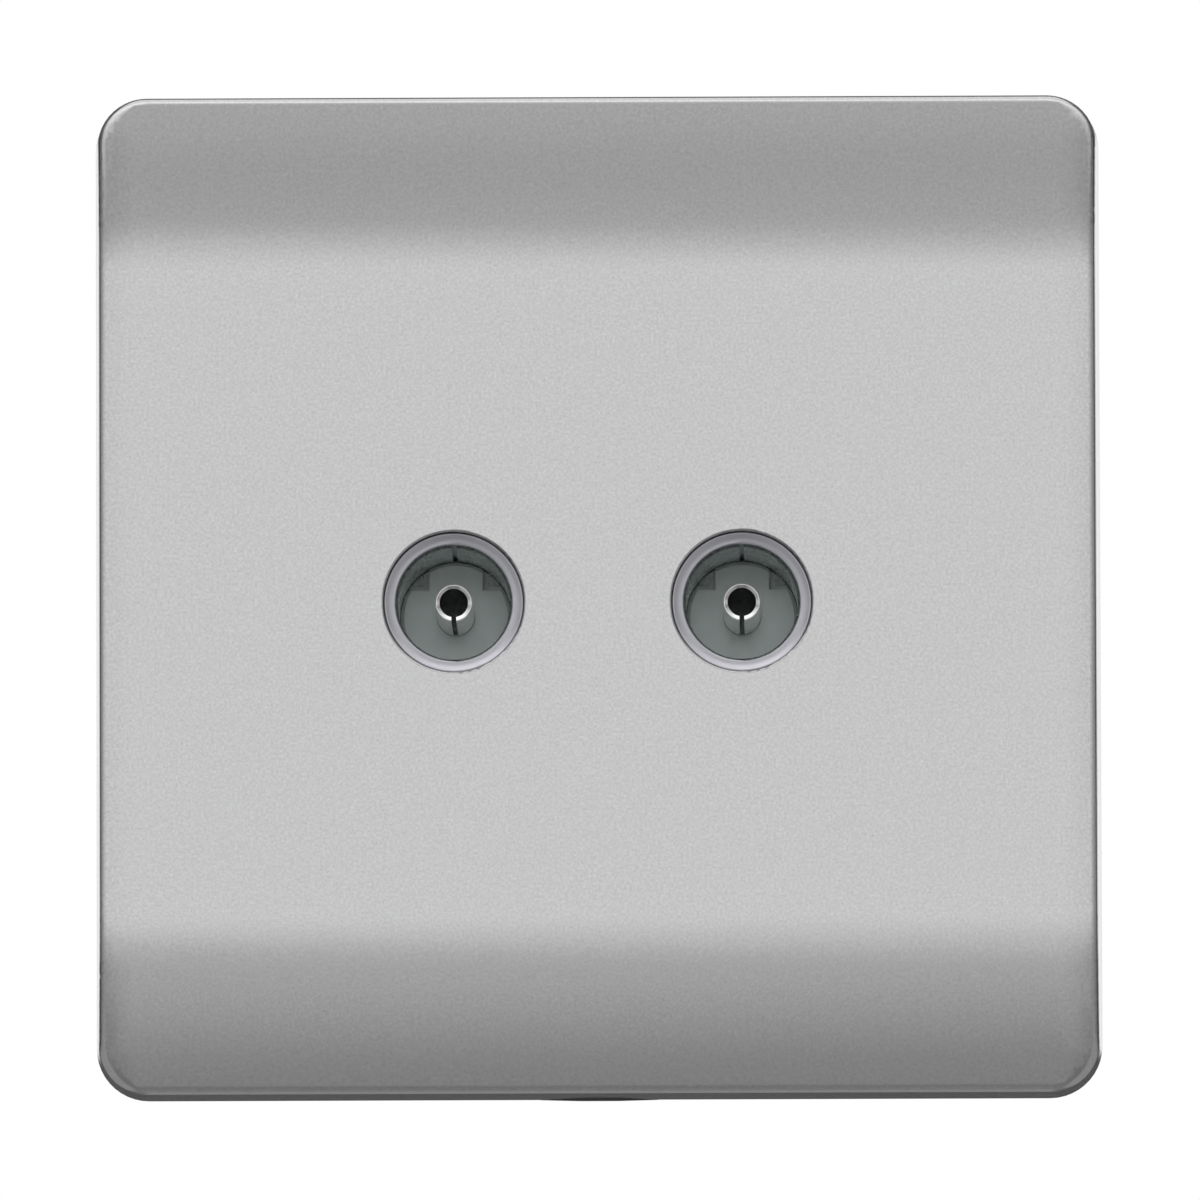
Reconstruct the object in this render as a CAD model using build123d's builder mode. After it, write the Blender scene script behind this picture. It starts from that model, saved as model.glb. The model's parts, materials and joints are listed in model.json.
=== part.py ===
from build123d import *
import os
from math import asin, cos, degrees, radians, sin, tan

# Twin TV aerial outlet: a clip-on front plate over a base plate that carries two coaxial sockets.
# X runs to the right, Y into the wall and Z up. Y is zero at the wall and negative in front of it.
# All sizes are in millimetres, all angles in degrees.

# Front plate
plate_width = 86.0
plate_height = 86.0
plate_corner_radius = 4.5
plate_face = 1.6  # thickness of the front
plate_wall = 1.8  # thickness of the sides
plate_draft = 3.5
plate_edge_radius = 0.7
roll_width = 3.5  # along each side, where the front rolls back towards the edge
roll_radius = 40.0
least_corner_radius = 0.5
rim_gap = 0.3  # the rim stops short of the wall, so that the base plate seats first

# Curved bands above and below the flat panel
panel_height = 59.8
crease_angle = 6.0
crease_radius = 45.0
band_radius = 105.0

# Ribs and grips inside the front plate
rib_width = 1.2
rib_depth = 1.4
rib_length = 50.0
rib_spacing = 46.0
grip_length = 9.0
grip_spacing = 44.0
grip_depth = 2.2
grip_lead = 10.0
grip_clearance = 0.05

# Base plate
base_gap = 0.6  # between its edge and the front plate's wall
base_thickness = 2.0
base_edge_radius = 0.4
base_rim_wall = 1.6
base_rim_rise = 1.0  # how far the rim and the bosses stand in front of the plate
base_front_clearance = 0.5  # between the rim and the front plate
base_rib_width = 1.4
base_rib_spacing = 54.0

# Wall fixings
fixing_spacing = 60.3
fixing_slot_width = 3.9
fixing_slot_length = 6.0
fixing_floor = 1.6  # left under the screw head
fixing_head_width = 7.6
fixing_boss_wall = 1.4

# Half-moon lip at the lower edge where a blade lifts the front plate off
pry_width = 10.0
pry_rise = 1.2  # at its middle, from the wall
pry_projection = 0.1  # at its middle, below the front plate
pry_clearance = 0.25

# Coaxial sockets
socket_pitch = 24.6
socket_drop = 0.8  # the sockets' axes lie this far below the middle of the plate
socket_depth = 15.0  # from the lip to the insulator
mating_radius = 4.8  # bore that takes the plug's outer sleeve
lip_recess = 0.6  # lip below the flat panel
lip_slope = 0.36  # how far the lip's dished face falls back towards the bore
lip_thickness = 0.5
lip_relief = 0.18  # the lip's opening is this much wider than the bore
lip_outer_radius = 0.1
lip_inner_radius = 0.15
sleeve_thickness = 0.3
sleeve_flare = 0.6  # length of its flared mouth
seam_width = 0.4
body_wall = 0.8
body_flange_width = 1.6
body_flange_thickness = 1.2
stake_width = 0.6
stake_thickness = 0.5
fit_clearance = 0.05
aperture_clearance = 0.06
aperture_edge_radius = 0.2
aperture_collar_wall = 1.4

# Lanced tabs of the sleeve, folded into pockets of the insulator
tab_size = 1.2
tab_angle = 45.0  # from the top, to each side
tab_inset = 0.2  # from the sleeve's bore to the tab's middle
tab_gap = 0.15  # between the tab and its window
pocket_margin = 0.35
pocket_depth = 1.3

# Insulator and centre contact
insulator_thickness = 3.4
insulator_flange = 1.3
insulator_chamfer = 0.3
contact_bore_radius = 1.2
contact_wall = 0.4
contact_recess = 0.5  # tip below the lip
contact_clearance = 0.02  # in the insulator
contact_bore_depth = 13.0
contact_slot_width = 0.4
contact_lead_width = 0.28  # cone that leads the pin in
contact_lead_depth = 0.12
contact_chamfer = 0.08
tail_radius = 1.1
tail_end_gap = 0.4  # between the tail and the core's hole

# Terminal for the cable's core
terminal_size = 6.0
terminal_chamfer = 0.4
terminal_edge = 0.2  # chamfer round the screw's end
core_hole_radius = 1.0
terminal_thread_radius = 1.5
terminal_screw_gap = 0.2  # between the screw's tip and the core hole
terminal_head_gap = 1.5  # between the block and the screw's head
terminal_head_radius = 2.4
terminal_head_height = 1.6

# Pressed earth frame
module_gap = 3.8  # between the two frames
frame_thickness = 1.0
frame_top = 12.4
frame_web = 9.5  # from the socket's axis down to the web
frame_bottom = 23.5
frame_bend_radius = 0.6
frame_corner_radius = 1.5
frame_screw_margin = 2.9
recess_margin = 1.1
recess_depth = 0.6
recess_corner_radius = 1.5

# Cable clamp
cable_radius = 3.3
saddle_thickness = 1.0
saddle_width = 8.0
saddle_gap = 0.2  # between the saddle's feet and the frame at rest
saddle_foot_margin = 0.4
saddle_bend_radius = 0.8
saddle_hole_clearance = 0.2
clamp_thread_radius = 1.5
clamp_head_radius = 2.7
clamp_head_height = 1.8
clamp_screw_length = 6.0
clamp_head_margin = 0.3

# Screws
thread_clearance = 0.05
screw_slot_width = 0.7
screw_slot_depth = 0.8
screw_head_edge = 0.5
screw_tip_chamfer = 0.3
frame_screw_radius = 1.15
frame_screw_length = 2.6
frame_screw_hole_clearance = 0.25
frame_screw_end_gap = 0.3
frame_head_radius = 2.5
frame_head_height = 1.6
post_wall = 1.4

cut_margin = 1.0  # how far a cut runs past the faces that it opens

# Shape of the bands, and the depth that the base plate and they give the front plate
crease_start = panel_height / 2 - crease_radius * tan(radians(crease_angle / 2))
band_start = crease_start + crease_radius * sin(radians(crease_angle))


def band_turn(rise):
    """Angle through which a band turns between the end of its crease and a height above it."""
    return degrees(asin(sin(radians(crease_angle)) + rise / band_radius)) - crease_angle


edge_angle = crease_angle + band_turn(plate_height / 2 - band_start)
crease_drop = crease_radius * (1 - cos(radians(crease_angle)))
band_drop = band_radius * (cos(radians(crease_angle)) - cos(radians(edge_angle)))
base_rim_height = base_thickness + base_rim_rise
plate_depth = base_rim_height + base_front_clearance + plate_face + crease_drop + band_drop

# Stations along the Y axis
front_y = -plate_depth
lip_y = front_y + lip_recess
contact_tip_y = lip_y + contact_recess
insulator_y = lip_y + socket_depth
body_end_y = insulator_y + insulator_thickness
terminal_y = body_end_y + insulator_flange
cable_y = terminal_y + terminal_size / 2
frame_y = -recess_depth

# Stations along the Z axis
socket_z = -socket_drop
frame_top_z = socket_z + frame_top
web_z = socket_z - frame_web
shelf_top_z = web_z - frame_thickness
frame_bottom_z = socket_z - frame_bottom

# Sizes that follow from the fits
body_radius = mating_radius + sleeve_thickness + fit_clearance + body_wall
body_flange_radius = body_radius + body_flange_width
aperture_radius = body_radius + aperture_clearance
contact_radius = contact_bore_radius + contact_wall
base_width = plate_width - 2 * (plate_wall + base_gap)
base_height = plate_height - 2 * (plate_wall + base_gap)
base_corner_radius = max(plate_corner_radius - plate_wall - base_gap, least_corner_radius)
frame_width = socket_pitch - module_gap
frame_screw_x = frame_width / 2 - frame_screw_margin
frame_screw_z = frame_top_z - frame_screw_margin
clamp_screw_x = cable_radius + saddle_thickness + clamp_head_margin + clamp_head_radius
saddle_z = (shelf_top_z + frame_bottom_z) / 2
tab_radius = mating_radius - tab_inset
tail_length = terminal_size / 2 - core_hole_radius - tail_end_gap
terminal_screw_length = terminal_size / 2 - core_hole_radius - terminal_screw_gap + terminal_head_gap


def wall_plane(y):
    """Plane parallel to the wall at depth y, facing the room."""
    return Plane.XZ.offset(-y)


def pair(middle_x, offset_x, z):
    """Two points at one height, to the left and right of a middle line."""
    return [(middle_x - offset_x, z), (middle_x + offset_x, z)]


def save(builder, name):
    """Label a finished piece and write it."""
    builder.part.label = name
    export_step(builder.part, f"parts/{name}.step")


socket_centres = pair(0, socket_pitch / 2, socket_z)
frame_screw_centres = [
    point for x, _ in socket_centres for point in pair(x, frame_screw_x, frame_screw_z)
]
os.makedirs("parts", exist_ok=True)


def plate_profile(plane, face_inset, rear_y):
    """Side profile of the front plate: flat panel, creases and bands, and a straight back."""
    turn = band_turn(plate_height / 2 + cut_margin - band_start)
    with BuildSketch(plane) as profile:
        with BuildLine():
            flat = Line((front_y + face_inset, 0), (front_y + face_inset, crease_start))
            crease = JernArc(flat @ 1, flat % 1, crease_radius - face_inset, -crease_angle)
            band = JernArc(crease @ 1, crease % 1, band_radius - face_inset, -turn)
            Polyline(band @ 1, (rear_y, (band @ 1).Y), (rear_y, 0))
            mirror(about=Plane.XZ)
        make_face()
    return profile.sketch


def plate_blank(side_inset, face_inset, rear_y, edge_radius):
    """Body of the front plate, or its cavity when inset: the profile, cut to the drafted outline."""
    straight = plate_width / 2 - roll_width
    roll_angle = degrees(asin((roll_width + cut_margin) / roll_radius))
    with BuildPart() as blank:
        extrude(plate_profile(Plane.YZ, face_inset, rear_y), amount=straight, both=True)
        for side_sign in (-1, 1):
            end_x = side_sign * straight
            revolve(
                plate_profile(Plane.YZ.offset(end_x), face_inset, rear_y),
                axis=Axis((end_x, front_y + roll_radius, 0), (0, 0, side_sign)),
                revolution_arc=roll_angle,
            )
        with BuildSketch(wall_plane(rear_y)):
            RectangleRounded(
                plate_width - 2 * side_inset,
                plate_height - 2 * side_inset,
                max(plate_corner_radius - side_inset, least_corner_radius),
            )
        extrude(amount=plate_depth + rear_y, taper=plate_draft, mode=Mode.INTERSECT)
        if edge_radius:
            lean = cos(radians(45))
            front = blank.faces().filter_by(lambda face: face.normal_at().Y < -lean)
            sides = blank.faces().filter_by(lambda face: abs(face.normal_at().Y) < lean)
            rim = [edge for edge in front.edges() if edge in sides.edges()]
            fillet(rim, edge_radius)
    return blank.part


def pry_block(margin, floor_z, top_z):
    """Upright half-moon block at the middle of the lower edge, with its flat on the wall."""
    half = pry_width / 2 + margin
    with BuildPart() as block:
        with BuildSketch(Plane.XY.offset(floor_z)):
            with BuildLine():
                crown = ThreePointArc((-half, 0), (0, -pry_rise - margin), (half, 0))
                Line(crown @ 1, crown @ 0)
            make_face()
        extrude(amount=top_z - floor_z)
    return block.part


# Front plate
with BuildPart() as front_plate:
    add(plate_blank(0, 0, -rim_gap, plate_edge_radius))
    add(plate_blank(plate_wall, plate_face, 0, 0), mode=Mode.SUBTRACT)
    # Collars round the openings reach back to the base plate's tallest features
    collar_y = -(base_rim_height + base_front_clearance)
    with BuildSketch(wall_plane(collar_y)):
        with Locations(*socket_centres):
            Circle(aperture_radius + aperture_collar_wall)
    extrude(amount=plate_depth + collar_y - plate_face / 2)
    # Stiffening ribs on the back of the flat panel
    with BuildSketch(wall_plane(front_y + plate_face / 2)):
        with GridLocations(rib_spacing, 0, 2, 1):
            Rectangle(rib_width, rib_length)
        with GridLocations(0, rib_spacing, 1, 2):
            Rectangle(rib_length, rib_width)
    extrude(amount=-(plate_face / 2 + rib_depth))
    # Grips that hold the edge of the base plate, with a lead-in towards the rim
    grip_thickness = base_gap + plate_wall / 2
    grip_x = base_width / 2 + grip_clearance + grip_thickness / 2
    grip_z = base_height / 2 + grip_clearance + grip_thickness / 2
    with BuildSketch(wall_plane(-base_rim_height)):
        with GridLocations(2 * grip_x, grip_spacing, 2, 2):
            Rectangle(grip_thickness, grip_length)
        with GridLocations(grip_spacing, 2 * grip_z, 2, 2):
            Rectangle(grip_length, grip_thickness)
    extrude(amount=-grip_depth, taper=grip_lead)
    # Openings for the sockets
    with BuildSketch(wall_plane(0)):
        with Locations(*socket_centres):
            Circle(aperture_radius)
    extrude(amount=plate_depth + cut_margin, mode=Mode.SUBTRACT)
    openings = front_plate.edges().filter_by(GeomType.CIRCLE).group_by(Axis.Y)[0]
    fillet(openings, aperture_edge_radius)
    # Notch in the lower rim for the pry lip
    notch_top_z = plate_wall + base_gap - plate_height / 2
    notch_block = pry_block(pry_clearance, -plate_height / 2 - cut_margin, notch_top_z)
    add(notch_block, mode=Mode.SUBTRACT)
save(front_plate, "front_plate")

# Base plate
fixing_centres = pair(0, fixing_spacing / 2, 0)
slot_travel = fixing_slot_length - fixing_slot_width
boss_width = fixing_head_width + 2 * fixing_boss_wall
recess_top_z = frame_top_z + recess_margin
recess_bottom_z = frame_bottom_z - recess_margin
pry_end_z = -plate_height / 2 - pry_projection
pry_sweep_radius = pry_width**2 / (8 * pry_projection) + pry_projection / 2

# Pry lip, rounded off below so that it dies out at both ends
with BuildPart() as pry_lip:
    add(pry_block(0, pry_end_z, base_rim_wall - base_height / 2))
    with BuildSketch(wall_plane(0)):
        with Locations((0, pry_end_z + pry_sweep_radius)):
            Circle(pry_sweep_radius)
    extrude(amount=pry_rise, mode=Mode.INTERSECT)

with BuildPart() as base_plate:
    with BuildSketch(wall_plane(0)):
        RectangleRounded(base_width, base_height, base_corner_radius)
    extrude(amount=base_thickness)
    fillet(base_plate.edges().group_by(Axis.Y)[-1], base_edge_radius)
    # Raised rim, ribs, bosses and screw posts on the front
    with BuildSketch(wall_plane(-base_thickness)):
        RectangleRounded(base_width, base_height, base_corner_radius)
        offset(amount=-base_rim_wall, kind=Kind.INTERSECTION, mode=Mode.SUBTRACT)
        with GridLocations(0, base_rib_spacing, 1, 2):
            Rectangle(base_width - base_rim_wall, base_rib_width)
        with Locations(*fixing_centres):
            SlotOverall(slot_travel + boss_width, boss_width)
        with Locations(*frame_screw_centres):
            Circle(frame_screw_radius + post_wall)
        with Locations(*socket_centres):
            Circle(body_flange_radius + fit_clearance + post_wall)
    extrude(amount=base_rim_height - base_thickness)
    # Recesses for the screw heads and the slots under them
    with BuildSketch(wall_plane(-fixing_floor)):
        with Locations(*fixing_centres):
            SlotOverall(slot_travel + fixing_head_width, fixing_head_width)
    extrude(amount=base_rim_height, mode=Mode.SUBTRACT)
    with BuildSketch(wall_plane(0)):
        with Locations(*fixing_centres):
            SlotOverall(fixing_slot_length, fixing_slot_width)
    extrude(amount=base_rim_height, mode=Mode.SUBTRACT)
    # Recess at the back that seats the earth frames
    with BuildSketch(wall_plane(0)):
        with Locations((0, (recess_top_z + recess_bottom_z) / 2)):
            RectangleRounded(
                socket_pitch + frame_width + 2 * recess_margin,
                recess_top_z - recess_bottom_z,
                recess_corner_radius,
            )
    extrude(amount=recess_depth, mode=Mode.SUBTRACT)
    # Seats for the sockets' flanges, and their holes
    with BuildSketch(wall_plane(0)):
        with Locations(*socket_centres):
            Circle(body_flange_radius + fit_clearance)
    extrude(amount=recess_depth + body_flange_thickness, mode=Mode.SUBTRACT)
    with BuildSketch(wall_plane(0)):
        with Locations(*socket_centres):
            Circle(body_radius + fit_clearance)
    extrude(amount=base_rim_height, mode=Mode.SUBTRACT)
    # Pilot holes for the frames' screws
    with BuildSketch(wall_plane(0)):
        with Locations(*frame_screw_centres):
            Circle(frame_screw_radius + thread_clearance)
    pilot_depth = recess_depth + frame_screw_length - frame_thickness + frame_screw_end_gap
    extrude(amount=pilot_depth, mode=Mode.SUBTRACT)
    add(pry_lip.part)
save(base_plate, "base_plate")


def screw_set(centres, seat_y, thread_radius, length, head_radius, head_height):
    """Slotted pan-head screws with their heads towards the back and their threads towards the room."""
    with BuildPart() as screws:
        with BuildSketch(wall_plane(seat_y)):
            with Locations(*centres):
                Circle(head_radius)
        extrude(amount=-head_height)
        fillet(screws.edges().group_by(Axis.Y)[-1], screw_head_edge)
        with BuildSketch(wall_plane(seat_y)):
            with Locations(*centres):
                Circle(thread_radius)
        extrude(amount=length)
        chamfer(screws.edges().group_by(Axis.Y)[0], screw_tip_chamfer)
        with BuildSketch(wall_plane(seat_y + head_height)):
            with Locations(*centres):
                Rectangle(2 * head_radius + cut_margin, screw_slot_width)
        extrude(amount=screw_slot_depth, mode=Mode.SUBTRACT)
    return screws


for side, centre in zip(("left", "right"), socket_centres):
    module_x = centre[0]
    socket_axis = Axis((module_x, 0, socket_z), (0, 1, 0))
    axis_plane = Plane((module_x, 0, socket_z))

    # Socket body: a turned tube with a dished lip, a flange, and a bead staked behind the earth frame
    sleeve_radius = mating_radius + sleeve_thickness
    bore_radius = sleeve_radius + fit_clearance
    lip_opening = mating_radius + lip_relief
    lip_inner_y = lip_y + lip_slope
    lip_edge_y = lip_inner_y + lip_inner_radius
    lip_back_y = lip_inner_y + lip_thickness
    bead_y = frame_y + frame_thickness
    with BuildPart() as socket_body:
        with BuildSketch(axis_plane):
            with BuildLine():
                lead_in = JernArc((lip_opening, lip_edge_y), (0, -1), lip_inner_radius, 90)
                dish = TangentArc(lead_in @ 1, (body_radius, lip_y), tangent=lead_in % 1)
                Polyline(
                    dish @ 1,
                    (body_radius, frame_y - body_flange_thickness),
                    (body_flange_radius, frame_y - body_flange_thickness),
                    (body_flange_radius, frame_y),
                    (body_radius, frame_y),
                    (body_radius, bead_y),
                    (body_radius + stake_width, bead_y),
                    (body_radius, bead_y + stake_thickness),
                    (body_radius, body_end_y),
                    (bore_radius, body_end_y),
                    (bore_radius, lip_back_y),
                    (lip_opening, lip_back_y),
                    lead_in @ 0,
                )
            make_face()
        revolve(axis=socket_axis)
        fillet(socket_body.edges().group_by(Axis.Y)[0], lip_outer_radius)
    save(socket_body, f"{side}_socket_body")

    # Contact sleeve: rolled sheet with an open seam at the top and two lanced tabs
    tab_z = socket_z + tab_radius * cos(radians(tab_angle))
    tab_centres = pair(module_x, tab_radius * sin(radians(tab_angle)), tab_z)
    sleeve_y = lip_back_y + fit_clearance
    tab_y = insulator_y + pocket_depth - fit_clearance
    with BuildPart() as contact_sleeve:
        with BuildSketch(wall_plane(body_end_y)):
            with Locations(centre):
                Circle(sleeve_radius)
                Circle(mating_radius, mode=Mode.SUBTRACT)
        extrude(amount=body_end_y - sleeve_y)
        # Mouth that flares out to the lip's opening
        with BuildSketch(axis_plane):
            with BuildLine():
                Polyline(
                    (mating_radius, sleeve_y),
                    (lip_opening, sleeve_y),
                    (mating_radius, sleeve_y + sleeve_flare),
                    close=True,
                )
            make_face()
        revolve(axis=socket_axis, mode=Mode.SUBTRACT)
        # Windows left by the tabs
        with BuildSketch(wall_plane(tab_y)):
            with Locations(*tab_centres):
                Rectangle(tab_size, tab_size)
        extrude(amount=tab_size, mode=Mode.SUBTRACT)
        # The tabs, folded in square to the axis
        with BuildSketch(wall_plane(tab_y)):
            with Locations(*tab_centres):
                Rectangle(tab_size - 2 * tab_gap, tab_size - 2 * tab_gap)
            with Locations(centre):
                Circle(sleeve_radius, mode=Mode.INTERSECT)
        extrude(amount=sleeve_thickness)
        # The seam
        with BuildSketch(wall_plane(body_end_y)):
            with Locations((module_x, socket_z + mating_radius)):
                Rectangle(seam_width, mating_radius)
        extrude(amount=body_end_y - sleeve_y, mode=Mode.SUBTRACT)
    save(contact_sleeve, f"{side}_contact_sleeve")

    # Insulator: a disc in the sleeve with pockets for the tabs, and a flange behind the body
    with BuildPart() as insulator:
        with BuildSketch(wall_plane(body_end_y)):
            with Locations(centre):
                Circle(mating_radius - fit_clearance)
        extrude(amount=insulator_thickness)
        chamfer(insulator.edges().group_by(Axis.Y)[0], insulator_chamfer)
        with BuildSketch(wall_plane(insulator_y)):
            with Locations(*tab_centres):
                Rectangle(tab_size + 2 * pocket_margin, tab_size + 2 * pocket_margin)
        extrude(amount=-pocket_depth, mode=Mode.SUBTRACT)
        with BuildSketch(wall_plane(terminal_y)):
            with Locations(centre):
                Circle(body_radius)
        extrude(amount=insulator_flange)
        chamfer(insulator.edges().group_by(Axis.Y)[-1], insulator_chamfer)
        with BuildSketch(wall_plane(terminal_y)):
            with Locations(centre):
                Circle(contact_radius + contact_clearance)
        extrude(amount=terminal_y - insulator_y, mode=Mode.SUBTRACT)
    save(insulator, f"{side}_insulator")

    # Centre contact: rolled tube with a lead-in and an open seam below, stepped down to a tail behind
    with BuildPart() as centre_contact:
        with BuildSketch(axis_plane):
            with BuildLine():
                Polyline(
                    (contact_bore_radius, contact_tip_y + contact_lead_depth),
                    (contact_bore_radius + contact_lead_width, contact_tip_y),
                    (contact_radius - contact_chamfer, contact_tip_y),
                    (contact_radius, contact_tip_y + contact_chamfer),
                    (contact_radius, terminal_y),
                    (tail_radius, terminal_y),
                    (tail_radius, terminal_y + tail_length),
                    (0, terminal_y + tail_length),
                    (0, contact_tip_y + contact_bore_depth),
                    (contact_bore_radius, contact_tip_y + contact_bore_depth),
                    close=True,
                )
            make_face()
        revolve(axis=socket_axis)
        with BuildSketch(wall_plane(contact_tip_y + contact_bore_depth)):
            with Locations((module_x, socket_z - contact_radius)):
                Rectangle(contact_slot_width, 2 * contact_radius)
        extrude(amount=contact_bore_depth, mode=Mode.SUBTRACT)
    save(centre_contact, f"{side}_centre_contact")

    # Terminal block: the contact's tail in front, the core's hole across it, the screw's thread behind
    with BuildPart() as terminal_block:
        with BuildSketch(wall_plane(terminal_y)):
            with Locations(centre):
                Rectangle(terminal_size, terminal_size)
        extrude(amount=-terminal_size)
        chamfer(terminal_block.edges().filter_by(Axis.Y), terminal_chamfer)
        chamfer(terminal_block.edges().group_by(Axis.Y)[-1], terminal_edge)
        with BuildSketch(wall_plane(terminal_y)):
            with Locations(centre):
                Circle(tail_radius + fit_clearance)
        extrude(amount=-(tail_length + fit_clearance), mode=Mode.SUBTRACT)
        with BuildSketch(wall_plane(terminal_y + terminal_size)):
            with Locations(centre):
                Circle(terminal_thread_radius)
        extrude(amount=terminal_size / 2, mode=Mode.SUBTRACT)
        with BuildSketch(Plane.XY.offset(socket_z)):
            with Locations((module_x, cable_y)):
                Circle(core_hole_radius)
        extrude(amount=terminal_size, both=True, mode=Mode.SUBTRACT)
    save(terminal_block, f"{side}_terminal_block")

    screw_tip_y = cable_y + core_hole_radius + terminal_screw_gap
    terminal_screw = screw_set(
        [centre],
        screw_tip_y + terminal_screw_length,
        terminal_thread_radius - thread_clearance,
        terminal_screw_length,
        terminal_head_radius,
        terminal_head_height,
    )
    save(terminal_screw, f"{side}_terminal_screw")

    # Earth frame: sheet folded back to a shelf with a half-round trough for the cable
    clamp_centres = pair(module_x, clamp_screw_x, saddle_z)
    with BuildPart() as earth_frame:
        with BuildSketch(Plane.YZ.offset(module_x)):
            with BuildLine():
                FilletPolyline(
                    (frame_y, frame_top_z),
                    (frame_y, shelf_top_z),
                    (cable_y - frame_thickness, shelf_top_z),
                    (cable_y - frame_thickness, frame_bottom_z),
                    radius=(frame_bend_radius + frame_thickness, frame_bend_radius),
                )
                offset(amount=frame_thickness, side=Side.LEFT)
            make_face()
        extrude(amount=frame_width / 2, both=True)
        ends = earth_frame.edges().filter_by(Axis.Y)
        fillet(ends.group_by(Axis.Z)[0] + ends.group_by(Axis.Z)[-1], frame_corner_radius)
        with BuildSketch(Plane.XY.offset(frame_bottom_z)):
            with Locations((module_x, cable_y)):
                Circle(cable_radius + frame_thickness)
                Rectangle(
                    2 * (cable_radius + frame_thickness),
                    cable_radius + frame_thickness,
                    align=(Align.CENTER, Align.MIN),
                    mode=Mode.SUBTRACT,
                )
        extrude(amount=shelf_top_z - frame_bottom_z)
        with BuildSketch(Plane.XY.offset(frame_bottom_z)):
            with Locations((module_x, cable_y)):
                Circle(cable_radius)
        extrude(amount=web_z - frame_bottom_z + cut_margin, mode=Mode.SUBTRACT)
        with BuildSketch(wall_plane(frame_y)):
            with Locations(centre):
                Circle(body_radius + fit_clearance)
            with Locations(*pair(module_x, frame_screw_x, frame_screw_z)):
                Circle(frame_screw_radius + frame_screw_hole_clearance)
        extrude(amount=-frame_thickness, mode=Mode.SUBTRACT)
        with BuildSketch(wall_plane(cable_y)):
            with Locations(*clamp_centres):
                Circle(clamp_thread_radius)
        extrude(amount=frame_thickness, mode=Mode.SUBTRACT)
    save(earth_frame, f"{side}_earth_frame")

    frame_screws = screw_set(
        pair(module_x, frame_screw_x, frame_screw_z),
        frame_y + frame_thickness,
        frame_screw_radius,
        frame_screw_length,
        frame_head_radius,
        frame_head_height,
    )
    save(frame_screws, f"{side}_frame_screws")

    # Cable saddle: a strap arched over the cable, with a foot for each clamp screw
    foot_y = cable_y + saddle_gap
    foot_end = clamp_screw_x + clamp_head_radius + saddle_foot_margin
    with BuildPart() as cable_saddle:
        with BuildSketch(Plane.XY.offset(saddle_z - saddle_width / 2)) as strap:
            with Locations((module_x, foot_y)):
                Rectangle(2 * foot_end, saddle_thickness, align=(Align.CENTER, Align.MIN))
            with Locations((module_x, cable_y)):
                Circle(cable_radius + saddle_thickness)
            with Locations((module_x, foot_y)):
                Rectangle(
                    2 * foot_end, 2 * foot_end, align=(Align.CENTER, Align.MAX), mode=Mode.SUBTRACT
                )
            upper = strap.vertices().filter_by_position(
                Axis.Y, foot_y + saddle_thickness / 2, cable_y + foot_end
            )
            fillet(upper.sort_by_distance((module_x, cable_y))[:2], saddle_bend_radius)
            with Locations((module_x, cable_y)):
                Circle(cable_radius, mode=Mode.SUBTRACT)
        extrude(amount=saddle_width)
        fillet(cable_saddle.edges().filter_by(Axis.Y), frame_corner_radius)
        with BuildSketch(wall_plane(foot_y + saddle_thickness)):
            with Locations(*clamp_centres):
                Circle(clamp_thread_radius + saddle_hole_clearance)
        extrude(amount=saddle_thickness, mode=Mode.SUBTRACT)
    save(cable_saddle, f"{side}_cable_saddle")

    saddle_screws = screw_set(
        clamp_centres,
        foot_y + saddle_thickness,
        clamp_thread_radius - thread_clearance,
        clamp_screw_length,
        clamp_head_radius,
        clamp_head_height,
    )
    save(saddle_screws, f"{side}_saddle_screws")
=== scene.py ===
import json
from math import cos, hypot, pi, radians, sin, tan

import bmesh
import bpy
from mathutils import Matrix, Vector


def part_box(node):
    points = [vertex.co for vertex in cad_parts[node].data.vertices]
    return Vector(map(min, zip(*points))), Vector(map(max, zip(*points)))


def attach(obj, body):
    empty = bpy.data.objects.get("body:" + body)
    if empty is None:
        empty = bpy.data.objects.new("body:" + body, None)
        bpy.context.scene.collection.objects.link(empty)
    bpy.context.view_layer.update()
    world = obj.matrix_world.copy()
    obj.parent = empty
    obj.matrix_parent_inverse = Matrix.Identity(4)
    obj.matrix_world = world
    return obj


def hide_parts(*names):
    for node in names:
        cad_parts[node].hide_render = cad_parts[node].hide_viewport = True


# Twin TV aerial outlet: materials, screw threads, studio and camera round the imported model.
# Metres, in the model's frame: X to the right, Y into the wall, Z up, the wall at Y = 0.

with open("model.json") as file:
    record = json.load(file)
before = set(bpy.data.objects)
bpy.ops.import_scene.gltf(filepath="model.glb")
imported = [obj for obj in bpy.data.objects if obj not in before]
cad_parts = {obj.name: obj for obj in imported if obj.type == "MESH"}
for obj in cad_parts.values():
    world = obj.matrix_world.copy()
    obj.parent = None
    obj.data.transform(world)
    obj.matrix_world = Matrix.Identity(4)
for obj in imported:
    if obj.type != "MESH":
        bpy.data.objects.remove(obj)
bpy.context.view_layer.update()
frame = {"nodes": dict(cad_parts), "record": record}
nodes = frame["nodes"]

MM = 0.001

# View: slightly from below and from the right, through a long lens
view_elevation = -5.0  # degrees
view_azimuth = 0.45
view_roll = -0.17
view_distance = 2.2
photo_pixels = 1200
plate_pixels = 1004.2  # width of the plate in the photograph
plate_offset_pixels = (-1.7, 1.9)  # from the picture's middle to the plate's, right and up

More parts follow.
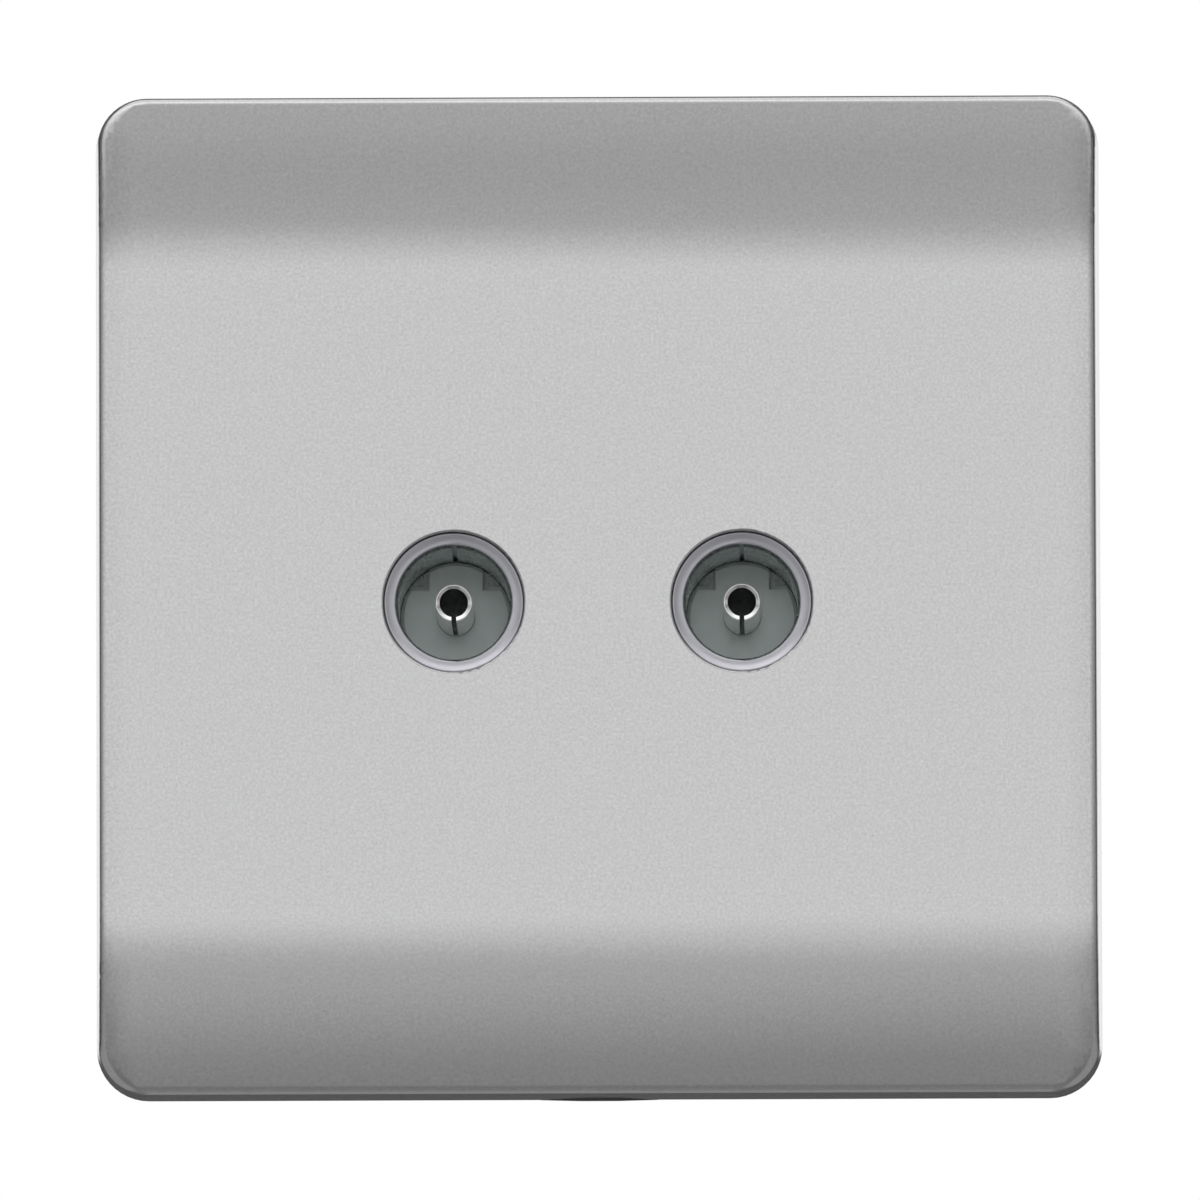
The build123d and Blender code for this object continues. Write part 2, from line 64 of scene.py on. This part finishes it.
# Studio
floor_drop = 0.35  # below the outlet, out of the camera's sight
floor_size = 8.0
floor_glow = 0.32  # that metal sees low down at the sides
floor_glow_elevations = (-4.0, -12.0)  # degrees, between which it comes in
floor_glow_sides = (0.2, 0.35)  # a direction's share to the side, between which it comes in
front_ends_sides = (0.0, 0.2)  # the same for the ends of the panels in front
rear_ends_sides = (0.04, 0.09)  # and behind
rear_depths = (-0.05, 0.05)  # a direction's share to the rear, from the front panels to the rear ones
backdrop_elevations = (70.0, 80.0)  # between which metal comes to see the white backdrop
lamp_distance = 3.2
lamps = (
    # name, azimuth and elevation as seen from the outlet, half angle that it spans, radiance
    ("key", -36.0, 42.0, 22.0, 0.4),
    ("fill", 36.0, 42.0, 22.0, 0.27),
)
matt_lamps = (
    # Round and above the camera and behind the outlet; metal doesn't mirror them
    ("front", 0.0, 0.0, 16.0, 1.2),
    ("upper", 0.0, 17.0, 12.0, 3.6),
    ("back", 180.0, 40.0, 20.0, 1.6),
)

# Screw threads
thread_pitch = 0.5 * MM
thread_depth = 0.28 * MM
thread_segments = 64
thread_rings = 12  # in one pitch
thread_chamfer = 0.3 * MM
thread_neck = 0.4 * MM  # plain length under the head
thread_flat = 0.15  # share of a flank's height that is cut off at the root and at the crest
head_share = 0.8  # of a head's radius, which only the head reaches
seat_margin = 0.001 * MM

# Shading
sharp_angle = 30.0  # between faces that meet in an edge, and not in a rounding
weld_distance = 0.0001 * MM

# Places that the materials follow
plate_low, plate_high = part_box("front_plate")
plate_width = plate_high.x - plate_low.x
body_low, body_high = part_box("right_socket_body")
socket_x = (body_low.x + body_high.x) / 2
socket_z = (body_low.z + body_high.z) / 2
insulator_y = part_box("right_insulator")[0].y
contact_bore_radius = next(
    mount["dims"]["r_mm"] for mount in frame["record"]["mounts"] if mount["name"] == "right_aerial_contact"
) * MM
contact_slot = 0.42 * MM  # width of the stripe of painted shade along the contact's seam


# Node helpers

def add_node(tree, kind, inputs=None, **settings):
    """A node whose inputs are constants or other nodes' outputs."""
    node = tree.nodes.new(kind)
    for name, value in settings.items():
        setattr(node, name, value)
    for name, value in (inputs or {}).items():
        if isinstance(value, bpy.types.NodeSocket):
            tree.links.new(value, node.inputs[name])
        else:
            node.inputs[name].default_value = value
    return node


def math_node(tree, operation, first, second=0.0):
    """The result of one sum on two numbers."""
    return add_node(tree, "ShaderNodeMath", {0: first, 1: second}, operation=operation).outputs[0]


def remap(tree, value, low, high, start, end):
    """A number carried from one range to another and held at its ends."""
    inputs = {"Value": value, "From Min": low, "From Max": high, "To Min": start, "To Max": end}
    return add_node(tree, "ShaderNodeMapRange", inputs).outputs["Result"]


def mix(tree, factor, first, second, blend="MIX"):
    """Two colours mixed by a factor."""
    inputs = {"Factor": factor, 6: first, 7: second}
    return add_node(tree, "ShaderNodeMix", inputs, data_type="RGBA", blend_type=blend).outputs[2]


def shade(value):
    """A colour with its alpha, from a grey or a colour."""
    return (*value, 1) if isinstance(value, tuple) else (value, value, value, 1)


def ramp(tree, factor, stops, interpolation="LINEAR"):
    """Greys or colours along a factor, from (position, colour) stops."""
    node = add_node(tree, "ShaderNodeValToRGB", {"Fac": factor})
    node.color_ramp.interpolation = interpolation
    band = node.color_ramp.elements
    while len(band) < len(stops):
        band.new(1.0)
    for element, (position, colour) in zip(band, stops):
        element.position = position
        element.color = shade(colour)
    return node.outputs["Color"]


def object_axes(tree):
    """The X, Y and Z of a point in the model's frame."""
    place = add_node(tree, "ShaderNodeTexCoord").outputs["Object"]
    return add_node(tree, "ShaderNodeSeparateXYZ", {"Vector": place}).outputs


def grain(tree, size, detail=2.0, stretch=(1, 1, 1)):
    """Noise with blobs of about this size, longer along an axis whose stretch is under 1."""
    place = add_node(tree, "ShaderNodeTexCoord").outputs["Object"]
    mapping = add_node(tree, "ShaderNodeMapping", {"Vector": place, "Scale": stretch})
    texture = {"Vector": mapping.outputs["Vector"], "Scale": 1 / size, "Detail": detail}
    return add_node(tree, "ShaderNodeTexNoise", texture).outputs["Fac"]


def axis_offsets(tree):
    """How far a point lies beside and above the axis of the nearer socket."""
    axes = object_axes(tree)
    across = math_node(tree, "SUBTRACT", math_node(tree, "ABSOLUTE", axes["X"]), socket_x)
    return across, math_node(tree, "SUBTRACT", axes["Z"], socket_z)


def axis_distance(tree):
    """Distance from the axis of the nearer socket."""
    across, up = axis_offsets(tree)
    across_squared = math_node(tree, "POWER", across, 2.0)
    up_squared = math_node(tree, "POWER", up, 2.0)
    return math_node(tree, "SQRT", math_node(tree, "ADD", across_squared, up_squared))


def turning_marks(tree, spacing):
    """Noise that changes only along and away from the nearer socket's axis, as on turned metal."""
    rings = add_node(tree, "ShaderNodeCombineXYZ", {"X": axis_distance(tree), "Y": object_axes(tree)["Y"]})
    texture = {"Vector": rings.outputs["Vector"], "Scale": 1 / spacing, "Detail": 2.0}
    return add_node(tree, "ShaderNodeTexNoise", texture).outputs["Fac"]


# Materials

noise_range = (0.3, 0.7)  # where nearly all of a noise's values lie


def surface(name, metallic):
    """An empty material with its node tree and shader."""
    material = bpy.data.materials.new(name)
    material.use_nodes = True
    shader = material.node_tree.nodes["Principled BSDF"]
    shader.inputs["Metallic"].default_value = metallic
    return material, material.node_tree, shader


def two_shades(tree, factor, dark, light):
    """Colour that varies between two shades."""
    return ramp(tree, factor, list(zip(noise_range, (dark, light))))


def set_colour(tree, shader, factor, dark, light):
    """Base colour that varies between two shades."""
    tree.links.new(two_shades(tree, factor, dark, light), shader.inputs["Base Color"])


def set_roughness(tree, shader, factor, low, high):
    """Roughness that varies between two values."""
    tree.links.new(remap(tree, factor, *noise_range, low, high), shader.inputs["Roughness"])


def set_relief(tree, shader, height, depth):
    """Fine relief of a given depth."""
    bump = add_node(tree, "ShaderNodeBump", {"Height": height, "Distance": depth, "Strength": 1.0})
    tree.links.new(bump.outputs["Normal"], shader.inputs["Normal"])


def silver_paint():
    """Satin metallic paint with fine flakes, over grey plastic that stays bare on the back."""
    material, tree, shader = surface("silver_paint", metallic=0.0)
    normal = add_node(tree, "ShaderNodeTexCoord").outputs["Normal"]
    facing = add_node(tree, "ShaderNodeSeparateXYZ", {"Vector": normal}).outputs["Y"]
    bare = remap(tree, facing, 0.2, 0.3, 0.0, 1.0)
    paint = two_shades(tree, grain(tree, 0.22 * MM), (0.595, 0.595, 0.6), (0.675, 0.675, 0.68))
    plastic = two_shades(tree, grain(tree, 2 * MM), (0.19, 0.19, 0.195), (0.23, 0.23, 0.235))
    tree.links.new(mix(tree, bare, paint, plastic), shader.inputs["Base Color"])
    tree.links.new(remap(tree, bare, 0.0, 1.0, 0.92, 0.0), shader.inputs["Metallic"])
    painted = remap(tree, grain(tree, 0.3 * MM), *noise_range, 0.16, 0.2)
    moulded = math_node(tree, "MULTIPLY", bare, 0.5)
    tree.links.new(math_node(tree, "MAXIMUM", painted, moulded), shader.inputs["Roughness"])
    set_relief(tree, shader, grain(tree, 0.18 * MM), 0.00025 * MM)
    return material


def black_plastic():
    """Moulded plastic with a fine spark-eroded texture."""
    material, tree, shader = surface("black_plastic", metallic=0.0)
    set_colour(tree, shader, grain(tree, 3 * MM), (0.044, 0.044, 0.046), (0.052, 0.052, 0.055))
    set_roughness(tree, shader, grain(tree, 0.5 * MM), 0.46, 0.56)
    set_relief(tree, shader, grain(tree, 0.25 * MM, detail=3.0), 0.012 * MM)
    return material


def nickel():
    """Turned brass with pale satin nickel plating."""
    material, tree, shader = surface("nickel", metallic=0.85)
    set_colour(tree, shader, turning_marks(tree, 0.2 * MM), (0.58, 0.58, 0.62), (0.68, 0.68, 0.73))
    set_roughness(tree, shader, grain(tree, 0.8 * MM), 0.32, 0.4)
    set_relief(tree, shader, turning_marks(tree, 0.08 * MM), 0.001 * MM)
    return material


def drawn_sheet():
    """Rolled spring sheet with draw lines along the sleeve, and painted shade where it lies deeper than
    the insulator's face.
    """
    material, tree, shader = surface("drawn_sheet", metallic=1.0)
    lines = grain(tree, 0.15 * MM, stretch=(1, 0.04, 1))
    drawn = two_shades(tree, lines, (0.715, 0.755, 0.745), (0.745, 0.785, 0.775))
    # painted shade: the sheet is dark where it lies deeper than the insulator's face
    deep_shade = two_shades(tree, lines, (0.12, 0.13, 0.13), (0.18, 0.2, 0.19))
    depth = remap(tree, object_axes(tree)["Y"], insulator_y - 0.2 * MM, insulator_y + 0.2 * MM, 0.0, 1.0)
    tree.links.new(mix(tree, depth, drawn, deep_shade), shader.inputs["Base Color"])
    set_roughness(tree, shader, grain(tree, 0.6 * MM, stretch=(1, 0.2, 1)), 0.22, 0.32)
    set_relief(tree, shader, lines, 0.0004 * MM)
    return material


def bright_plate():
    """Bright plating on the centre contact, with painted shade inside its bore and along its seam."""
    material, tree, shader = surface("bright_plate", metallic=1.0)
    across, up = axis_offsets(tree)
    bore = math_node(tree, "LESS_THAN", axis_distance(tree), contact_bore_radius + 0.02 * MM)
    stripe = math_node(tree, "LESS_THAN", math_node(tree, "ABSOLUTE", across), contact_slot / 2)
    seam = math_node(tree, "MULTIPLY", stripe, math_node(tree, "LESS_THAN", up, 0.0))
    plated = two_shades(tree, grain(tree, 0.5 * MM), (0.88, 0.88, 0.87), (0.95, 0.95, 0.94))
    # painted shade: near-black inside the contact's bore and along the seam below its axis
    bore_and_seam_shade = two_shades(tree, grain(tree, 0.3 * MM), (0.02, 0.022, 0.022), (0.04, 0.044, 0.042))
    dark = math_node(tree, "MAXIMUM", bore, seam)
    tree.links.new(mix(tree, dark, plated, bore_and_seam_shade), shader.inputs["Base Color"])
    set_roughness(tree, shader, grain(tree, 0.4 * MM), 0.12, 0.22)
    set_relief(tree, shader, turning_marks(tree, 0.06 * MM), 0.0006 * MM)
    return material


def grey_plastic():
    """Matt insulating plastic, slightly green."""
    material, tree, shader = surface("grey_plastic", metallic=0.0)
    set_colour(tree, shader, grain(tree, 1.5 * MM), (0.7, 0.77, 0.755), (0.75, 0.82, 0.805))
    set_roughness(tree, shader, grain(tree, 0.8 * MM), 0.36, 0.48)
    set_relief(tree, shader, grain(tree, 0.2 * MM), 0.004 * MM)
    return material


def brass():
    """Cut brass bar with saw lines."""
    material, tree, shader = surface("brass", metallic=1.0)
    lines = grain(tree, 0.12 * MM, stretch=(0.08, 1, 1))
    set_colour(tree, shader, grain(tree, 1.5 * MM), (0.66, 0.47, 0.2), (0.78, 0.59, 0.29))
    set_roughness(tree, shader, lines, 0.24, 0.4)
    set_relief(tree, shader, lines, 0.003 * MM)
    return material


def zinc_sheet():
    """Zinc-plated pressed steel, faintly mottled."""
    material, tree, shader = surface("zinc_sheet", metallic=1.0)
    set_colour(tree, shader, grain(tree, 2.5 * MM), (0.56, 0.57, 0.58), (0.68, 0.68, 0.67))
    set_roughness(tree, shader, grain(tree, 0.9 * MM), 0.28, 0.42)
    set_relief(tree, shader, grain(tree, 0.15 * MM, stretch=(0.1, 1, 1)), 0.003 * MM)
    return material


def zinc_screw():
    """Zinc-plated screws."""
    material, tree, shader = surface("zinc_screw", metallic=1.0)
    set_colour(tree, shader, grain(tree, 1.2 * MM), (0.6, 0.6, 0.58), (0.74, 0.73, 0.7))
    set_roughness(tree, shader, grain(tree, 0.5 * MM), 0.2, 0.34)
    set_relief(tree, shader, grain(tree, 0.12 * MM), 0.003 * MM)
    return material


slot_materials = {
    "plate_silver": silver_paint(),
    "base_plastic": black_plastic(),
    "nickel_plate": nickel(),
    "sleeve_metal": drawn_sheet(),
    "contact_plate": bright_plate(),
    "insulator_plastic": grey_plastic(),
    "terminal_brass": brass(),
    "frame_steel": zinc_sheet(),
    "screw_steel": zinc_screw(),
}
for subpart in frame["record"]["subparts"]:
    nodes[subpart["node"]].data.materials[0] = slot_materials[subpart["material_slot"]]


# Pieces that stand for nodes

def welded(node):
    """A node's mesh with its faces joined along their edges."""
    shell = bmesh.new()
    shell.from_mesh(nodes[node].data)
    bmesh.ops.remove_doubles(shell, verts=shell.verts, dist=weld_distance)
    return shell


def stand_for(node, body, shell):
    """New piece in a node's place, with shading that runs on over its roundings and stops at its edges."""
    mesh = bpy.data.meshes.new(f"{node}_piece")
    shell.to_mesh(mesh)
    shell.free()
    if "custom_normal" in mesh.attributes:
        mesh.attributes.remove(mesh.attributes["custom_normal"])
    mesh.shade_smooth()
    mesh.set_sharp_from_angle(angle=radians(sharp_angle))
    slot = next(part["material_slot"] for part in frame["record"]["subparts"] if part["node"] == node)
    mesh.materials.clear()
    mesh.materials.append(slot_materials[slot])
    piece = bpy.data.objects.new(f"{node}_piece", mesh)
    bpy.context.scene.collection.objects.link(piece)
    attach(piece, body)
    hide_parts(node)
    return piece


def even_out(piece):
    """Normals that follow a piece's larger faces, so that its flats shade flat up to their roundings."""
    modifier = piece.modifiers.new("even", "WEIGHTED_NORMAL")
    modifier.keep_sharp = True
    evaluated = piece.evaluated_get(bpy.context.evaluated_depsgraph_get())
    piece.data = bpy.data.meshes.new_from_object(evaluated)
    piece.modifiers.clear()


def thread_height(phase):
    """Height of a thread's flank along one pitch, from 0 at the root to 1 at the crest."""
    rise = abs(2 * phase - 1)
    return min(max((rise - thread_flat) / (1 - 2 * thread_flat), 0.0), 1.0)


def add_thread(shell, axis_x, axis_z, tip_y, seat_y, radius):
    """Closed shank with a helical thread, from a chamfered tip to a plain neck under the head."""
    count = round((seat_y - tip_y) / thread_pitch * thread_rings)
    rings = []
    for step in range(count + 1):
        y = tip_y + (seat_y - tip_y) * step / count
        thread = min((seat_y - y) / thread_neck, 1.0)
        widest = radius - thread_chamfer + (y - tip_y)
        ring = []
        for segment in range(thread_segments):
            share = segment / thread_segments
            height = thread_height(((y - tip_y) / thread_pitch + share) % 1)
            reach = radius - thread_depth * (1 - height * thread - (1 - thread) / 2)
            reach = min(reach, widest)
            angle = 2 * pi * share
            ring.append(shell.verts.new((axis_x + reach * cos(angle), y, axis_z + reach * sin(angle))))
        rings.append(ring)
    shell.faces.new(rings[0])
    shell.faces.new(reversed(rings[-1]))
    for low, high in zip(rings, rings[1:]):
        for segment in range(thread_segments):
            after = (segment + 1) % thread_segments
            shell.faces.new((low[segment], high[segment], high[after], low[after]))


def thread_screws(node, body):
    """Piece that stands for a node's screws: their heads as they are, and threads on their shanks."""
    low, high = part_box(node)
    head_radius = (high.z - low.z) / 2
    axis_z = (high.z + low.z) / 2
    axes = sorted({round(low.x + head_radius, 6), round(high.x - head_radius, 6)})
    shell = welded(node)
    reach = {v: min(hypot(v.co.x - x, v.co.z - axis_z) for x in axes) for v in shell.verts}
    seat_y = min(v.co.y for v in shell.verts if reach[v] > head_share * head_radius)
    shanks = [v for v in shell.verts if v.co.y < seat_y - seat_margin]
    radius = max(reach[v] for v in shanks)
    bmesh.ops.delete(shell, geom=shanks, context="VERTS")
    bmesh.ops.holes_fill(shell, edges=[edge for edge in shell.edges if edge.is_boundary])
    for axis_x in axes:
        add_thread(shell, axis_x, axis_z, low.y, seat_y, radius)
    bmesh.ops.recalc_face_normals(shell, faces=shell.faces)
    stand_for(node, body, shell)


even_out(stand_for("front_plate", "cover", welded("front_plate")))
for side in ("left", "right"):
    thread_screws(f"{side}_saddle_screws", f"{side}_clamp")
    thread_screws(f"{side}_terminal_screw", f"{side}_core_screw")
    even_out(stand_for(f"{side}_socket_body", "base", welded(f"{side}_socket_body")))


# Studio

def angle_stop(angle, brightness):
    """Ramp stop for a direction's angle in degrees, from -90 below or at the left to 90."""
    return ((sin(radians(angle)) + 1) / 2, brightness)


def between(tree, height, elevations):
    """How far a direction's height has come from one elevation in degrees to another, 0 to 1."""
    start, end = (sin(radians(elevation)) for elevation in elevations)
    return remap(tree, height, start, end, 0.0, 1.0)


def build_world():
    """Soft panels: a bright one round the camera, darker sides and a pale glow near the floor.

    The camera sees plain white in every direction, and metal a white backdrop behind and above.
    """
    world = bpy.data.worlds.new("studio")
    bpy.context.scene.world = world
    world.use_nodes = True
    tree = world.node_tree
    direction = add_node(tree, "ShaderNodeTexCoord").outputs["Generated"]
    axes = add_node(tree, "ShaderNodeSeparateXYZ", {"Vector": direction}).outputs
    height = remap(tree, axes["Z"], -1.0, 1.0, 0.0, 1.0)
    across = remap(tree, axes["X"], -1.0, 1.0, 0.0, 1.0)
    aside = math_node(tree, "ABSOLUTE", axes["X"])
    front_middle = ramp(tree, height, [
        angle_stop(-90, 0.24),
        angle_stop(-30, 0.21),
        angle_stop(-18.5, 0.245),
        angle_stop(-10, 0.57),
        angle_stop(-5, 0.62),
        angle_stop(0, 0.83),
        angle_stop(4, 1.035),
        angle_stop(7, 0.96),
        angle_stop(14, 0.62),
        angle_stop(20, 0.5),
        angle_stop(26, 0.52),
        angle_stop(45, 1.0),
        angle_stop(70, 1.5),
    ], "CARDINAL")
    front_ends = ramp(tree, height, [
        angle_stop(-90, 0.2),
        angle_stop(-30, 0.14),
        angle_stop(-18.5, 0.15),
        angle_stop(-10, 0.29),
        angle_stop(-5, 0.43),
        angle_stop(0, 0.7),
        angle_stop(4, 0.96),
        angle_stop(7, 0.88),
        angle_stop(14, 0.46),
        angle_stop(20, 0.3),
        angle_stop(26, 0.33),
        angle_stop(45, 0.95),
        angle_stop(70, 1.5),
    ], "CARDINAL")
    front_heights = mix(tree, remap(tree, aside, *front_ends_sides, 0.0, 1.0), front_middle, front_ends)
    front_sides = ramp(tree, across, [
        angle_stop(-90, 0.3),
        angle_stop(-78, 0.34),
        angle_stop(-64, 0.44),
        angle_stop(-45, 0.69),
        angle_stop(-28, 0.87),
        angle_stop(0, 1.0),
        angle_stop(28, 0.74),
        angle_stop(45, 0.56),
        angle_stop(64, 0.38),
        angle_stop(78, 0.32),
        angle_stop(90, 0.28),
    ])
    front = mix(tree, 1.0, front_heights, front_sides, blend="MULTIPLY")
    rear_middle = ramp(tree, height, [
        angle_stop(-90, 0.32),
        angle_stop(-40, 0.32),
        angle_stop(-22, 0.28),
        angle_stop(-15, 0.08),
        angle_stop(-9, 0.07),
        angle_stop(20, 0.05),
        angle_stop(58, 0.08),
        angle_stop(70, 0.5),
        angle_stop(80, 1.5),
    ])
    rear_ends = ramp(tree, height, [
        angle_stop(-90, 0.2),
        angle_stop(-30, 0.1),
        angle_stop(2, 0.07),
        angle_stop(3, 1.05),
        angle_stop(7.5, 1.05),
        angle_stop(9.5, 0.1),
        angle_stop(60, 0.1),
        angle_stop(80, 1.5),
    ])
    rear_heights = mix(tree, remap(tree, aside, *rear_ends_sides, 0.0, 1.0), rear_middle, rear_ends)
    rear_sides = ramp(tree, aside, [(0.79, 1.0), (0.93, 0.06), (1.0, 0.05)])
    rear = mix(tree, 1.0, rear_heights, rear_sides, blend="MULTIPLY")
    behind = remap(tree, axes["Y"], *rear_depths, 0.0, 1.0)
    below = between(tree, axes["Z"], floor_glow_elevations)
    beside = remap(tree, aside, *floor_glow_sides, 0.0, 1.0)
    near_floor = math_node(tree, "MULTIPLY", below, beside)
    panels = mix(tree, near_floor, mix(tree, behind, front, rear), shade(floor_glow), blend="LIGHTEN")
    upper = between(tree, axes["Z"], backdrop_elevations)
    backdrop = math_node(tree, "MULTIPLY", behind, upper)
    rays = add_node(tree, "ShaderNodeLightPath").outputs
    mirrored = math_node(tree, "MAXIMUM", rays["Is Glossy Ray"], rays["Is Transmission Ray"])
    mirrored_backdrop = math_node(tree, "MULTIPLY", mirrored, backdrop)
    white = math_node(tree, "MAXIMUM", rays["Is Camera Ray"], mirrored_backdrop)
    light = mix(tree, white, panels, shade(1.0))
    tree.links.new(light, tree.nodes["Background"].inputs["Color"])


def sphere_point(azimuth, elevation, distance):
    """Point round the outlet, with azimuth 0 in front of it and 90 to its right."""
    a, e = radians(azimuth), radians(elevation)
    return distance * Vector((sin(a) * cos(e), -cos(a) * cos(e), sin(e)))


def add_softbox(name, azimuth, elevation, half_angle, radiance):
    """Square lamp of a given radiance, aimed at the outlet."""
    place = sphere_point(azimuth, elevation, lamp_distance)
    data = bpy.data.lights.new(name, "AREA")
    data.size = 2 * lamp_distance * tan(radians(half_angle))
    data.energy = radiance * pi * data.size**2
    lamp = bpy.data.objects.new(name, data)
    lamp.location = place
    lamp.rotation_euler = (-place).to_track_quat("-Z", "Y").to_euler()
    bpy.context.scene.collection.objects.link(lamp)
    return lamp


def build_floor():
    """Plain pale floor."""
    half = floor_size / 2
    corners = [(-half, -half), (half, -half), (half, half), (-half, half)]
    mesh = bpy.data.meshes.new("floor")
    mesh.from_pydata([(x, y, -floor_drop) for x, y in corners], [], [(0, 1, 2, 3)])
    floor = bpy.data.objects.new("floor", mesh)
    bpy.context.scene.collection.objects.link(floor)
    material, tree, shader = surface("pale_floor", metallic=0.0)
    set_colour(tree, shader, grain(tree, 0.2), (0.86, 0.86, 0.86), (0.9, 0.9, 0.9))
    shader.inputs["Roughness"].default_value = 0.9
    mesh.materials.append(material)
    floor.visible_glossy = False


def build_camera():
    """Camera at the photograph's view, with the plate as large and as placed as there."""
    pixel = plate_width / plate_pixels
    away = sphere_point(view_azimuth, view_elevation, 1.0)
    turn = (-away).to_track_quat("-Z", "Y").to_matrix()
    right, up = turn.col[0], turn.col[1]
    target = Vector()
    for axis, offset in zip((right, up), plate_offset_pixels):
        reach = [vertex.co.dot(axis) for vertex in nodes["front_plate"].data.vertices]
        target += axis * ((min(reach) + max(reach)) / 2 - offset * pixel)
    data = bpy.data.cameras.new("camera")
    data.lens = data.sensor_width * view_distance / (pixel * photo_pixels)
    camera = bpy.data.objects.new("camera", data)
    camera.matrix_world = (
        Matrix.Translation(target + view_distance * away)
        @ turn.to_4x4()
        @ Matrix.Rotation(radians(view_roll), 4, "Z")
    )
    bpy.context.scene.collection.objects.link(camera)
    bpy.context.scene.camera = camera


build_world()
for lamp in lamps:
    add_softbox(*lamp)
for lamp in matt_lamps:
    add_softbox(*lamp).visible_glossy = False
build_floor()
build_camera()
bpy.context.scene.view_settings.view_transform = "Standard"
